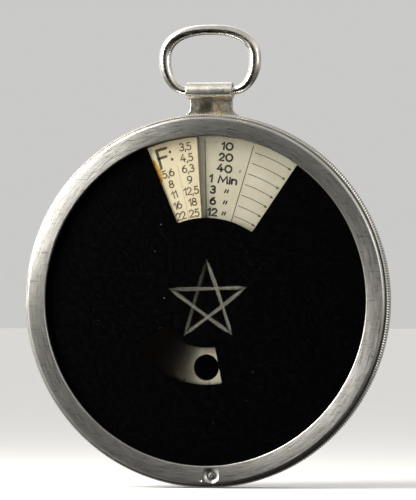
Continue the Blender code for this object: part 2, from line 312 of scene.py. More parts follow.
def plus(mat, first, second):
    return maths(mat, "ADD", first, second)


def minus(mat, first, second):
    return maths(mat, "SUBTRACT", first, second)


def times(mat, first, second):
    return maths(mat, "MULTIPLY", first, second)


def separate(mat, vector):
    return add(mat, "SeparateXYZ", {0: vector}).outputs


def millimetres(mat):
    """The piece's own coordinates, in millimetres."""
    coords = add(mat, "TexCoord", {}).outputs["Object"]
    inputs = {0: coords, 1: (1 / MM, 1 / MM, 1 / MM)}
    return add(mat, "VectorMath", inputs, operation="MULTIPLY").outputs[0]


def stretched(mat, vector, scale, turn=0.0):
    """The coordinates scaled along each axis, then turned about Y, to meet another part of the noise."""
    inputs = {"Vector": vector, "Scale": scale, "Rotation": (0, radians(turn), 0)}
    return add(mat, "Mapping", inputs, vector_type="POINT").outputs[0]


def dial_plane(mat):
    """Each point's offset from the dial's axis, the offset's length, and the point's y, in mm."""
    x, y, z = separate(mat, millimetres(mat))
    plane = add(mat, "CombineXYZ", {0: x, 2: z}).outputs[0]
    radius = add(mat, "VectorMath", {0: plane}, operation="LENGTH").outputs["Value"]
    return plane, radius, y


def round_dial(mat, along, across):
    """Coordinates that run round the dial, on a circle of radius `along`, and `across` for each mm."""
    plane, radius, y = dial_plane(mat)
    unit = add(mat, "VectorMath", {0: plane}, operation="NORMALIZE").outputs[0]
    circle = add(mat, "VectorMath", {0: unit, "Scale": along}, operation="SCALE").outputs[0]
    outward = times(mat, minus(mat, radius, y), across)
    depth = add(mat, "CombineXYZ", {1: outward}).outputs[0]
    return add(mat, "VectorMath", {0: circle, 1: depth}, operation="ADD").outputs[0]


def noise(mat, vector, scale, detail=3.0, rough=0.55):
    inputs = {"Vector": vector, "Scale": scale, "Detail": detail, "Roughness": rough}
    return add(mat, "TexNoise", inputs).outputs[0]


def clouds(mat, scale, detail=3.0):
    """Noise on the piece's own coordinates, with the scale in features a millimetre."""
    return noise(mat, millimetres(mat), scale, detail)


def remap(mat, value, low, high, to_low=0.0, to_high=1.0, smooth=False):
    inputs = {"Value": value, "From Min": low, "From Max": high, "To Min": to_low, "To Max": to_high}
    kind = "SMOOTHSTEP" if smooth else "LINEAR"
    return add(mat, "MapRange", inputs, interpolation_type=kind).outputs[0]


def blend(mat, share, first, second):
    """Colours mixed by share; each is a colour or another node's output."""
    sides = [c if isinstance(c, bpy.types.NodeSocket) else (*c, 1.0) for c in (first, second)]
    inputs = {0: share, 6: sides[0], 7: sides[1]}
    return add(mat, "Mix", inputs, data_type="RGBA").outputs[2]


def strip_place(mat):
    """A strip's UV coordinates, the one along it, and a rise from 0 at its sides to 1 in its middle."""
    place = add(mat, "UVMap", {}, uv_map="along_across").outputs[0]
    along, across, _ = separate(mat, place)
    middle = times(mat, times(mat, across, minus(mat, 1.0, across)), 4.0)
    return place, along, middle


def drive(mat, **sockets):
    for socket, value in sockets.items():
        mat.node_tree.links.new(value, shader_input(mat, socket))


def bump(mat, height, depth_mm, strength=1.0):
    inputs = {"Strength": strength, "Distance": depth_mm * MM, "Height": height}
    drive(mat, Normal=add(mat, "Bump", inputs).outputs[0])


def scratches(mat, turns=(18, 75, 128), fineness=2.2, amount=0.035):
    """Fine marks that run along X, from 0 to 1, taken from the noise once for each turn."""
    total = None
    for i, turn in enumerate(turns):
        spot = stretched(mat, millimetres(mat), (0.16 * fineness, 0.5, 3.2 * fineness), turn)
        mark = remap(mat, noise(mat, spot, 1.0 + 0.17 * i, 2.0), 0.66 - amount, 0.72)
        total = mark if total is None else maths(mat, "MAXIMUM", total, mark)
    return total


# ---- materials


def brushed_nickel(name, anisotropic, along, wear):
    """Nickel brushed round the dial's axis, with stray scratches and slight tarnish."""
    brushed = {"Anisotropic": anisotropic, "Anisotropic_Rotation": 0.25}
    mat = new_material(name, (0.66, 0.64, 0.6), 0.33, 1.0, **brushed)
    tangent = add(mat, "Tangent", {}, direction_type="RADIAL", axis="Y")
    drive(mat, Tangent=tangent.outputs[0])
    coarse = noise(mat, round_dial(mat, along * 0.8, 3.5), 1.0, 3.0, 0.6)
    fine = noise(mat, round_dial(mat, along * 2.0, 14.0), 1.0, 3.0, 0.65)
    brushing = plus(mat, times(mat, coarse, 0.4), times(mat, fine, 0.6))
    marks = scratches(mat)
    tarnish = remap(mat, clouds(mat, 0.16, 4.0), 0.42, 0.72)
    metal = blend(mat, remap(mat, brushing, 0.34, 0.66), (0.52, 0.505, 0.465), (0.79, 0.775, 0.735))
    aged = blend(mat, times(mat, tarnish, 0.45), metal, (0.5, 0.47, 0.39))
    bright = blend(mat, times(mat, marks, wear), aged, (0.88, 0.87, 0.84))
    drive(mat, Base_Color=bright)
    rough = remap(mat, fine, 0.3, 0.7, 0.26, 0.4)
    drive(mat, Roughness=minus(mat, rough, times(mat, marks, 0.08)))
    bump(mat, brushing, 0.01)
    return mat


def polished_nickel():
    """Bright plate with hairline scratches, small pits and a warm film of age."""
    mat = new_material("polished_nickel_worn", (0.78, 0.76, 0.71), 0.14, 1.0)
    marks = scratches(mat, (10, 62, 115, 160), 3.0, 0.05)
    cloud = clouds(mat, 0.55, 4.0)
    pits = remap(mat, clouds(mat, 5.5, 2.0), 0.68, 0.75)
    aged = blend(mat, remap(mat, cloud, 0.4, 0.7), (0.82, 0.8, 0.755), (0.66, 0.62, 0.53))
    drive(mat, Base_Color=blend(mat, times(mat, pits, 0.7), aged, (0.3, 0.26, 0.2)))
    rough = plus(mat, remap(mat, cloud, 0.3, 0.7, 0.09, 0.2), times(mat, marks, 0.2))
    drive(mat, Roughness=rough)
    bump(mat, plus(mat, marks, pits), 0.0015, 0.6)
    return mat


def worn_tab():
    """Nickel on the rolled tab, rubbed through to the brass, with painted shade on the neck under the roll
    and a thin dark line painted across the roll's front.
    """
    mat = new_material("tab_nickel_worn_to_brass", (0.74, 0.72, 0.67), 0.24, 1.0)
    spot = millimetres(mat)
    x, y, z = separate(mat, spot)
    cloud = noise(mat, spot, 1.1, 5.0, 0.65)
    below = remap(mat, z, TUBE_Z - 1.0, TUBE_Z - 1.9, 0.0, 1.0, True)
    off_rub = maths(mat, "ABSOLUTE", minus(mat, x, 1.1))
    middle = remap(mat, off_rub, 1.7, 0.5, 0.0, 1.0, True)
    ragged = remap(mat, plus(mat, cloud, times(mat, middle, 0.35)), 0.52, 0.86)
    brass = times(mat, ragged, below)
    # painted shade: blotchy darkening over the neck under the roll
    roll_shadow = times(mat, below, remap(mat, noise(mat, spot, 2.6, 4.0), 0.5, 0.68))
    tarnish = remap(mat, noise(mat, spot, 3.2, 3.0), 0.4, 0.7)
    plate = blend(mat, tarnish, (0.78, 0.76, 0.71), (0.62, 0.58, 0.5))
    worn = blend(mat, brass, plate, (0.66, 0.54, 0.36))
    with_roll_shadow = blend(mat, times(mat, roll_shadow, 0.75), worn, (0.16, 0.12, 0.075))
    # a thin dark line painted across the front of the roll, a little below its middle
    frayed = times(mat, minus(mat, noise(mat, spot, 2.2, 4.0, 0.7), 0.5), 0.55)
    off_line = maths(mat, "ABSOLUTE", plus(mat, minus(mat, z, TUBE_Z - 0.5), frayed))
    in_front = remap(mat, y, -TUBE_H, -TUBE_H - 0.3)
    roll_dark_line = times(mat, remap(mat, off_line, 0.09, 0.02, 0.0, 0.85, True), in_front)
    # painted shade, deepest in the middle of the neck under the roll
    away = times(mat, below, minus(mat, 1.0, brass))
    off_middle = maths(mat, "ABSOLUTE", plus(mat, x, 0.9))
    middle_shade = remap(mat, off_middle, 0.3, 2.4, 0.95, 0.35, True)
    shaded_neck = blend(mat, times(mat, away, middle_shade), with_roll_shadow, (0.12, 0.095, 0.06))
    drive(mat, Base_Color=blend(mat, roll_dark_line, shaded_neck, (0.13, 0.11, 0.08)))
    drive(mat, Roughness=remap(mat, cloud, 0.3, 0.75, 0.27, 0.42))
    dents = noise(mat, spot, 0.7, 1.0)
    scored = times(mat, scratches(mat, (0, 20)), 0.04)
    bump(mat, plus(mat, dents, scored), 0.05, 0.5)
    return mat


def knurled_nickel():
    """Bright crests over valleys painted dark."""
    mat = new_material("knurled_nickel", (0.72, 0.7, 0.65), 0.22, 1.0)
    _, radius, y = dial_plane(mat)
    low, high, soft = -(GRIP_LOW + 0.25), -(GRIP_HIGH - 0.3), 0.05
    on_band = times(mat, remap(mat, y, low, low - soft), remap(mat, y, high - soft, high))
    # the valleys of the knurling on the band, painted dark
    deep = remap(mat, radius, GRIP_R - 0.02, GRIP_R - KNURL_DEPTH)
    dark_valleys = times(mat, times(mat, deep, on_band), 0.9)
    cloud = clouds(mat, 0.9, 4.0)
    plate = blend(mat, remap(mat, cloud, 0.35, 0.7), (0.76, 0.74, 0.69), (0.6, 0.57, 0.49))
    drive(mat, Base_Color=blend(mat, dark_valleys, plate, (0.09, 0.075, 0.055)))
    drive(mat, Roughness=remap(mat, cloud, 0.3, 0.7, 0.16, 0.3))
    bump(mat, noise(mat, round_dial(mat, 8.0, 8.0), 1.0), 0.006)
    return mat


def turned_metal(name, light, dark, roughness):
    """Bare turned metal with a fine tool-marked finish."""
    mat = new_material(name, light, roughness, 1.0)
    spot = millimetres(mat)
    marks = noise(mat, stretched(mat, spot, (2.0, 9.0, 2.0)), 2.0, 4.0)
    stain = noise(mat, spot, 0.35, 4.0)
    drive(mat, Base_Color=blend(mat, remap(mat, stain, 0.35, 0.7), light, dark))
    drive(mat, Roughness=remap(mat, marks, 0.3, 0.7, roughness - 0.08, roughness + 0.1))
    bump(mat, marks, 0.008)
    return mat


def black_finish(name, colour, roughness, grain=4.0, depth=0.01, gloss=0.3):
    mat = new_material(name, colour, roughness, Specular_IOR_Level=gloss)
    cloud = clouds(mat, grain, 4.0)
    lighter = tuple(c * 2.2 + 0.0005 for c in colour)
    drive(mat, Base_Color=blend(mat, remap(mat, cloud, 0.5, 0.8), colour, lighter))
    drive(mat, Roughness=remap(mat, cloud, 0.3, 0.7, roughness - 0.1, roughness + 0.1))
    bump(mat, cloud, depth)
    return mat


def card_stock(name, pale, yellowed):
    """Aged printing card: fibre grain, cloudy yellowing, and a few foxing spots."""
    mat = new_material(name, pale, 0.85, Specular_IOR_Level=0.2)
    spot = millimetres(mat)
    fibre = noise(mat, stretched(mat, spot, (5.0, 5.0, 9.0), 30), 1.0, 5.0, 0.7)
    cloud = noise(mat, spot, 0.22, 4.0)
    freckle = remap(mat, noise(mat, spot, 1.9, 2.0, 0.4), 0.735, 0.78)
    paper = blend(mat, remap(mat, cloud, 0.35, 0.75), pale, yellowed)
    grained = blend(mat, remap(mat, fibre, 0.45, 0.8, 0.0, 0.28), paper, tuple(c * 0.72 for c in yellowed))
    foxed = blend(mat, times(mat, freckle, 0.55), grained, (0.36, 0.25, 0.12))
    drive(mat, Base_Color=foxed)
    bump(mat, fibre, 0.012, 0.6)
    return mat


def printing_ink(name, colour):
    """Ink that took unevenly on the card."""
    mat = new_material(name, colour, 0.6, Specular_IOR_Level=0.2)
    patchy = remap(mat, clouds(mat, 4.5, 4.0), 0.4, 0.75)
    drive(mat, Base_Color=blend(mat, patchy, colour, tuple(c * 1.8 + 0.012 for c in colour)))
    drive(mat, Roughness=remap(mat, patchy, 0.0, 1.0, 0.5, 0.75))
    return mat


def thin_glass():
    """A clear pane: what is behind it, and a weak reflection that grows at grazing angles."""
    mat = bpy.data.materials.new("clear_cover_glass")
    mat.use_nodes = True
    nodes = mat.node_tree.nodes
    nodes.remove(nodes["Principled BSDF"])
    clear = add(mat, "BsdfTransparent", {"Color": (0.985, 0.99, 0.985, 1.0)})
    smear = noise(mat, stretched(mat, millimetres(mat), (0.2, 0.2, 0.5), 35), 1.0, 4.0)
    gloss = add(mat, "BsdfGlossy", {"Roughness": remap(mat, smear, 0.35, 0.75, 0.015, 0.07)})
    fresnel = add(mat, "Fresnel", {"IOR": 1.12}).outputs[0]
    behind = add(mat, "NewGeometry", {}).outputs["Backfacing"]
    weak = times(mat, fresnel, minus(mat, 1.0, behind))
    mix = add(mat, "MixShader", {0: weak, 1: clear.outputs[0], 2: gloss.outputs[0]})
    mat.node_tree.links.new(mix.outputs[0], nodes["Material Output"].inputs["Surface"])
    return mat


def blue_glass():
    """Deep blue, nearly black."""
    mat = new_material("blue_filter_glass", (0.001, 0.002, 0.018), 0.05, Specular_IOR_Level=0.25)
    depth = remap(mat, clouds(mat, 0.8, 3.0), 0.3, 0.7)
    drive(mat, Base_Color=blend(mat, depth, (0.0004, 0.0008, 0.005), (0.0008, 0.0016, 0.012)))
    drive(mat, Roughness=remap(mat, clouds(mat, 3.0), 0.4, 0.7, 0.03, 0.12))
    return mat


def wedge_gelatine():
    """The graded film: its density grows evenly with the angle past the clear end, and is raised towards
    its inner and outer sides as painted shade.
    """
    mat = new_material("wedge_gelatine", (0.0008, 0.0005, 0.0004), 0.4, Specular_IOR_Level=0.02)
    _, along, middle = strip_place(mat)
    start, end = WEDGE_ANGLES
    angle = minus(mat, times(mat, along, end - start), WEDGE_CLEAR_TO - start)
    wavy = times(mat, minus(mat, clouds(mat, 0.5, 3.0), 0.5), 7.0)
    past = maths(mat, "MAXIMUM", plus(mat, angle, wavy), 0.0)
    clear = maths(mat, "POWER", 10.0, times(mat, past, -WEDGE_DENSITY))
    # painted shade: the film is made denser towards its inner and outer sides, standing for the shade of
    # the black layer's edges on the card behind
    clear_with_edge_shade = times(mat, clear, remap(mat, middle, 0.0, 0.35, 0.45, 0.97, True))
    drive(mat, Alpha=minus(mat, 1.0, clear_with_edge_shade))
    bump(mat, clouds(mat, 2.0), 0.004)
    return mat


def star_scratch():
    """Strokes scraped through the black layer, drawn on its front in the colour of the card behind them,
    painted dim as in the black layer's shade: streaked along their length, soft at the sides.
    """
    mat = new_material("star_scratch", (0.36, 0.35, 0.31), 0.7, Specular_IOR_Level=0.1)
    place, _, middle = strip_place(mat)
    streak = noise(mat, stretched(mat, place, (0.9, 9.0, 1.0)), 1.0, 4.0, 0.7)
    patch = noise(mat, stretched(mat, place, (7.0, 1.5, 1.0)), 1.0, 2.0)
    strength = add(mat, "Attribute", {}, attribute_name="strength").outputs["Fac"]
    soft = remap(mat, middle, 0.05, 0.85, 0.0, 1.0, True)
    body = times(mat, soft, remap(mat, streak, 0.32, 0.62, 0.35, 1.0))
    uneven = times(mat, body, remap(mat, patch, 0.3, 0.6, 0.6, 1.0))
    drive(mat, Alpha=times(mat, uneven, strength))
    # painted shade: the card seen through the strokes gets this dim colour in place of the black layer's
    # shade on it
    drive(mat, Base_Color=blend(mat, streak, (0.095, 0.09, 0.074), (0.185, 0.178, 0.148)))
    return mat


def amber_glue():
    mat = new_material("amber_glue", (0.32, 0.17, 0.012), 0.35)
    cloud = clouds(mat, 1.6, 4.0)
    thick = remap(mat, cloud, 0.35, 0.65)
    drive(mat, Base_Color=blend(mat, thick, (0.42, 0.25, 0.02), (0.2, 0.1, 0.008)))
    drive(mat, Roughness=remap(mat, cloud, 0.3, 0.7, 0.25, 0.5))
    bump(mat, cloud, 0.03)
    return mat


def pale_floor():
    mat = new_material("pale_floor", (0.78, 0.77, 0.75), 0.75)
    grain = clouds(mat, 0.05, 3.0)
    drive(mat, Base_Color=blend(mat, grain, (0.76, 0.755, 0.74), (0.8, 0.795, 0.78)))
    return mat


# ---- the dial ring's metal


def knurled_ring(mat):
    """The grip ring with its straight knurling cut as real teeth."""
    bore, flange_h = GRIP_INNER_R + 1.05, GRIP_LOW + 1.2
    chamfer, shoulder, play = 0.25, 0.35, 0.06
    groove = bore + 0.28
    groove_low, groove_high = rear("retaining_wire") - play, front("retaining_wire") + play
    profile = [
        (bore, GRIP_LOW), (GRIP_R - chamfer, GRIP_LOW), (GRIP_R, GRIP_LOW + chamfer),
        (GRIP_R, GRIP_HIGH - 0.3), (GRIP_R - 0.2, GRIP_HIGH - 0.2), (GRIP_R - 0.22, GRIP_HIGH - 0.08),
        (GRIP_R - 0.27, GRIP_HIGH - 0.02), (GRIP_R - shoulder, GRIP_HIGH),
        (GRIP_INNER_R, GRIP_HIGH), (GRIP_INNER_R, flange_h), (bore, flange_h),
        (bore, groove_high), (groove, groove_high), (groove, groove_low), (bore, groove_low),
    ]

    def toothed(step, index, radius, height):
        return (radius - KNURL_DEPTH if step % 2 and index in (2, 3) else radius), height

    bm = bmesh.new()
    revolved(bm, profile, 2 * KNURL_TEETH, wobble=toothed)
    ring = link("knurled_ring", mesh_from(bm, "knurled_ring"), mat, "dial_ring", smooth=28.0)
    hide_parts("grip_ring")


def case_wall(mat):
    """The case's turned side wall, as a finely divided sleeve over the CAD pan."""
    radius, thick = outer_radius("case_back") + 0.01, 0.03
    profile = [(radius, 1.0), (radius + thick, 1.05), (radius + thick, 4.5), (radius, 4.55)]
    bm = bmesh.new()
    revolved(bm, profile, 360)
    wall = link("case_wall", mesh_from(bm, "case_wall"), mat, "case")


def drill(obj, profile, place):
    """Cuts a turned shape, given by (radius, height) points from the axis and back, out of a piece."""
    bm = bmesh.new()
    rings = revolved(bm, profile[1:-1], 48, closed=False)
    for end in (0, -1):
        tip = bm.verts.new(flat(0, 0, profile[end][1]))
        for ring, following in zip(rings, rings[1:] + rings[:1]):
            bm.faces.new((tip, ring[end], following[end]))
    bmesh.ops.translate(bm, verts=bm.verts, vec=place)
    cutter = new_object("cutter", mesh_from(bm, "cutter"))
    cut = obj.modifiers.new("cut", "BOOLEAN")
    cut.operation = "DIFFERENCE"
    cut.object = cutter
    mesh = evaluated_mesh(obj)
    obj.modifiers.clear()
    obj.data = mesh
    bpy.data.objects.remove(cutter)


def bezel_ring(mat):
    """The flat brushed ring, with its rounded rim, the screw's dish and a small punch mark."""
    fillet, lip = 0.34, 0.14
    edge = arc((BEZEL_R - fillet, FACE_H - fillet), fillet, 0, 90, 8)
    inner = arc((OPENING_R + lip, FACE_H - lip), lip, 90, 180, 5)
    floor = BEZEL_LOW + 0.1
    profile = [(OPENING_R + 0.08, BEZEL_LOW), (BEZEL_R, BEZEL_LOW), *edge, *inner, (OPENING_R, floor)]
    bm = bmesh.new()
    revolved(bm, profile, 360)
    ring = link("bezel_ring", mesh_from(bm, "bezel_ring"), mat, "dial_ring")

    low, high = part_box("bezel_screw")
    screw = Vector(((low.x + high.x) / 2, 0, (low.z + high.z) / 2))
    pocket = (high.x - low.x) / 2 / MM + 0.1
    dish_r, sunk, above = 1.15, FACE_H - 0.32, FACE_H + 0.3
    slope = (dish_r - pocket) / (FACE_H - sunk)
    dish = [
        (0, floor), (pocket, floor), (pocket, sunk), (pocket + 0.06, sunk + 0.06),
        (dish_r - 0.08, FACE_H - 0.04), (dish_r + 0.03, FACE_H + 0.01),
        (dish_r + slope * (above - FACE_H), above), (0, above),
    ]
    drill(ring, dish, screw)
    mark = [(0, FACE_H - 0.12), (0.05, FACE_H - 0.11), (0.2, FACE_H + 0.005), (0.22, above), (0, above)]
    drill(ring, mark, on_dial(BEZEL_R - 0.6, 181.1, 0))
    ring.data.shade_smooth()
    ring.data.set_sharp_from_angle(angle=radians(30))
    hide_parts("bezel")


# ---- the wedge film's black layer


def window_outline():
    inner, outer = WINDOW_R
    outline = polar_arc(outer, WINDOW_LEFT[0], WINDOW_RIGHT)
    corner = len(outline)
    outline += polar_arc(inner, WINDOW_RIGHT, WINDOW_LEFT[1])
    return rounded(rounded(outline, len(outline) - 1, 0.35), corner, 0.35)


def wedge_outline():
    inner, outer = WEDGE_R
    outline = polar_arc(outer, WEDGE_ANGLES[1], WEDGE_ANGLES[0])
    corner = len(outline) - 1
    outline += polar_arc(inner, WEDGE_ANGLES[0], WEDGE_ANGLES[1])
    return rounded(rounded(outline, corner + 1, 0.22), corner, 0.22)


def black_layer(mat):
    """The film's opaque layer, cut away for the scale window and for the wedge."""
    outlines = [polar_arc(FILM_R, 0, 358, 2.0), window_outline(), wedge_outline()]
    mesh = plate_mesh("black_layer", outlines, FILM_LOW, FILM_HIGH)
    layer = link("black_layer", mesh, mat, "dial_ring", smooth=30.0)
    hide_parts("wedge_film")


def ribbon_grid(name, rows, mat, body, strengths=None):
    """A strip made of rows of points, with a UV map that runs along it and across it."""
    bm = bmesh.new()
    layer = bm.loops.layers.uv.new("along_across")
    strip = [[bm.verts.new(p) for p in row] for row in rows]
    last, wide = len(rows) - 1, len(rows[0]) - 1
    for i in range(last):
        for k in range(wide):
            spots = ((i, k), (i + 1, k), (i + 1, k + 1), (i, k + 1))
            face = bm.faces.new([strip[a][b] for a, b in spots])
            for loop, (a, b) in zip(face.loops, spots):
                loop[layer].uv = (a / last, b / wide)
    mesh = mesh_from(bm, name, recalculate=False)
    if strengths:
        values = mesh.attributes.new("strength", "FLOAT", "POINT")
        for i, value in enumerate(strengths):
            for k in range(wide + 1):
                values.data[i * (wide + 1) + k].value = value
    return link(name, mesh, mat, body, smooth=0)


def wedge_strip(mat):
    """The graded gelatine that fills the wedge's opening."""
    steps, lines = 72, 6
    height = (FILM_LOW + FILM_HIGH) / 2
    inner, outer = WEDGE_R[0] - 0.1, WEDGE_R[1] + 0.1
    rows = []
    for i in range(steps + 1):
        angle = WEDGE_ANGLES[0] - 0.4 + (WEDGE_ANGLES[1] - WEDGE_ANGLES[0] + 0.8) * i / steps
        radii = [inner + (outer - inner) * k / lines for k in range(lines + 1)]
        rows.append([on_dial(r, angle, height) for r in radii])
    strip = ribbon_grid("wedge_strip", rows, mat, "dial_ring")


def star(mat):
    """A five-pointed star scraped by hand through the black layer, in five strokes."""
    rng = random.Random(5)
    corners = []
    for i in range(5):
        reach = STAR_R * (1 + rng.uniform(-0.02, 0.02))
        corners.append(Vector(STAR_AT) + outwards(STAR_TILT + 72 * i) * reach)
    strokes = (
        (0, 2, 0.95, 0.9), (2, 4, 0.85, 0.8), (4, 1, 0.4, 1.1), (1, 3, 0.95, 0.85), (3, 0, 0.45, 0.08),
    )
    for number, (start, end, *strengths) in enumerate(strokes):
        scraped_line(number, corners[start], corners[end], strengths, mat, rng)


def scraped_line(number, start, end, strengths, mat, rng):
    """One stroke with ragged sides, fading from one strength to the other and at both ends."""
    steps, lines, half_wide, overshoot = 40, 6, 0.33, 0.25
    along = (end - start).normalized()
    aside = -clockwise(along)
    start, end = start - along * overshoot, end + along * overshoot
    height = FILM_HIGH + 0.004 + 0.003 * number
    phase = rng.uniform(0, 6)
    rows, values = [], []
    for i in range(steps + 1):
        t = i / steps
        middle = start.lerp(end, t) + aside * 0.035 * sin(phase + 5 * t)
        taper = min(1.0, 7 * t + 0.15, 7 * (1 - t) + 0.15)
        half = half_wide * taper * (1 + 0.12 * sin(phase * 2 + 9 * t))
        row = [middle + aside * half * (2 * k / lines - 1) for k in range(lines + 1)]
        rows.append([flat(p.x, p.y, height) for p in row])
        values.append(taper * (strengths[0] + (strengths[1] - strengths[0]) * t))
    stroke = ribbon_grid(f"star_stroke_{number + 1}", rows, mat, "dial_ring", values)


def dust_specks(mat):
    """A few flecks that lie on the black layer."""
    rng = random.Random(21)
    bm = bmesh.new()
    for _ in range(26):
        reach, turn = rng.uniform(5.0, 23.5), rng.uniform(40, 330)
        over_wedge = 160 < turn < 240 and WEDGE_R[0] - 1 < reach < WEDGE_R[1] + 1
        if over_wedge:
            continue
        centre = on_dial(reach, turn, FILM_HIGH + 0.01)
        size, spin = rng.choice((0.025, 0.03, 0.045, 0.07)), rng.uniform(0, 6.28)
        ring = []
        for k in range(5):
            turn = spin + 1.2566 * k
            half = size * rng.uniform(0.6, 1.0)
            ring.append(bm.verts.new(centre + flat(cos(turn) * half, sin(turn) * half, 0)))
        bm.faces.new(ring)
    specks = link("dust_specks", mesh_from(bm, "dust_specks"), mat, "dial_ring", smooth=0)


# ---- lettering

# A glyph is its width and its strokes, on a height of 1. Each stroke is a list of points.


def bowl(cx, cy, rx, ry, start, end, count=14):
    return [(cx + rx * c, cy + ry * s) for c, s in arc((0, 0), 1.0, start, end, count)]


GLYPHS = {
    "0": (0.86, [bowl(0.43, 0.5, 0.42, 0.5, 90, 450, 28)]),
    "1": (0.3, [[(0.0, 0.74), (0.27, 1.0), (0.27, 0.0)]]),
    "2": (0.6, [bowl(0.29, 0.7, 0.29, 0.3, 170, -38) + [(0.0, 0.0), (0.6, 0.0)]]),
    "3": (0.6, [bowl(0.28, 0.75, 0.27, 0.25, 140, -90), bowl(0.28, 0.26, 0.31, 0.27, 90, -145)]),
    "4": (0.74, [[(0.42, 1.0), (0.0, 0.3), (0.74, 0.3)], [(0.5, 0.56), (0.5, 0.0)]]),
    "5": (0.6, [[(0.54, 1.0), (0.12, 1.0), (0.07, 0.56)] + bowl(0.27, 0.32, 0.32, 0.33, 125, -140)]),
    "6": (0.64, [bowl(0.62, 0.34, 0.61, 0.66, 106, 180), bowl(0.32, 0.31, 0.31, 0.31, 90, 450, 24)]),
    "8": (0.62, [bowl(0.31, 0.76, 0.25, 0.24, 90, 450, 22), bowl(0.31, 0.27, 0.31, 0.27, 90, 450, 24)]),
    "9": (0.64, [bowl(0.02, 0.66, 0.61, 0.66, -74, 0), bowl(0.32, 0.69, 0.31, 0.31, 90, 450, 24)]),
    ",": (0.1, [[(0.08, 0.05), (0.0, -0.2)]]),
    "/": (0.42, [[(0.0, -0.08), (0.42, 1.06)]]),
    " ": (0.34, []),
    "M": (1.2, [[(0.0, 0.0), (0.14, 1.0), (0.6, 0.22), (1.06, 1.0), (1.2, 0.0)]]),
    "i": (0.06, [[(0.03, 0.0), (0.03, 0.64)], [(0.03, 0.9), (0.03, 0.93)]]),
    "n": (0.6, [[(0.0, 0.0), (0.0, 0.66)], bowl(0.3, 0.42, 0.3, 0.24, 180, 0, 8) + [(0.6, 0.0)]]),
    "F": (0.56, [[(0.56, 1.0), (0.0, 1.0), (0.0, 0.0)], [(0.0, 0.55), (0.44, 0.55)]]),
    ":": (0.1, [[(0.05, 0.3), (0.05, 0.31)], [(0.05, 0.72), (0.05, 0.73)]]),
    '"': (0.5, [[(0.0, 0.28), (0.14, 0.68)], [(0.36, 0.28), (0.5, 0.68)]]),
}
LETTER_GAP = 0.2


def text_width(text, gap):
    return sum(GLYPHS[c][0] for c in text) + gap * (len(text) - 1)


def stroke_faces(bm, points, width, place):
    """A flat stroke of even width with round ends, through points in a flat frame."""
    spots = [Vector(p) for p in points]
    loop = len(spots) > 3 and (spots[0] - spots[-1]).length < 1e-6
    if loop:
        spots.pop()
    count = len(spots)
    sides = []
    for i, spot in enumerate(spots):
        before = spots[i - 1] if loop or i else spot
        after = spots[(i + 1) % count] if loop or i < count - 1 else spot
        directions = [d.normalized() for d in (spot - before, after - spot) if d.length > 1e-9]
        along = sum(directions, Vector((0, 0))).normalized()
        bend = max(0.6, along.dot(directions[0]))
        aside = Vector((-along.y, along.x)) * width / 2 / bend
        sides.append((bm.verts.new(place(spot + aside)), bm.verts.new(place(spot - aside))))
    following = sides[1:] + (sides[:1] if loop else [])
    for (left, right), (next_left, next_right) in zip(sides, following):
        bm.faces.new((left, right, next_right, next_left))
    if loop:
        return
    for spot, inward in ((spots[0], spots[1] - spots[0]), (spots[-1], spots[-2] - spots[-1])):
        outward = degrees(atan2(-inward.y, -inward.x))
        cap = arc(tuple(spot), width / 2, outward - 90, outward + 90, 6)
        bm.faces.new([bm.verts.new(place(Vector(p))) for p in cap])


def write(bm, text, radius, angle, height, size, weight, left=None, rng=None, gap=LETTER_GAP, wide=1.0):
    """Text across the radius at a dial angle, centred there or starting `left` mm from it."""
    outward = outwards(angle)
    aside = clockwise(outward)
    base = outward * (radius - size / 2)
    pen = (-text_width(text, gap) * size * wide / 2) if left is None else left
    for letter in text:
        advance, strokes = GLYPHS[letter]
        lift = rng.uniform(-0.03, 0.03) * size if rng else 0.0

        def place(p):
            spot = base + aside * (pen + p.x) + outward * (p.y + lift)
            return flat(spot.x, spot.y, height)

        for stroke in strokes:
            stroke_faces(bm, [(x * size * wide, y * size) for x, y in stroke], weight, place)
        pen += (advance + gap) * size * wide


def radial_line(bm, angle, start, end, width, height):
    ends = [outwards(angle) * radius for radius in (start, end)]
    stroke_faces(bm, ends, width, lambda p: flat(p.x, p.y, height))


def arrow(bm, radius, start, end, height):
    """A fine arc that ends in a filled head."""
    head_long, head_wide = 0.6, 0.44
    back_off = degrees(head_long / radius)
    line = polar_arc(radius, start, end - back_off * 0.6, 1.5)
    stroke_faces(bm, line, 0.1, lambda p: flat(p.x, p.y, height))
    tip = on_dial(radius, end, height + 0.001)
    wings = [on_dial(radius + side * head_wide / 2, end - back_off, height + 0.001) for side in (1, -1)]
    notch = on_dial(radius, end - back_off * 0.8, height + 0.001)
    bm.faces.new([bm.verts.new(p) for p in (tip, wings[0], notch, wings[1])])


def row_radius(row):
    return ROW_TOP - ROW_PITCH * row


TIMES = ["1/1000", "1/500", "1/250", "1/100", "1/50", "1/25", "1/10", "1/5", "1/2", "1", "2", "5"]
TIMES += ["10", "20", "40", "1 Min", '3"', '6"', '12"']


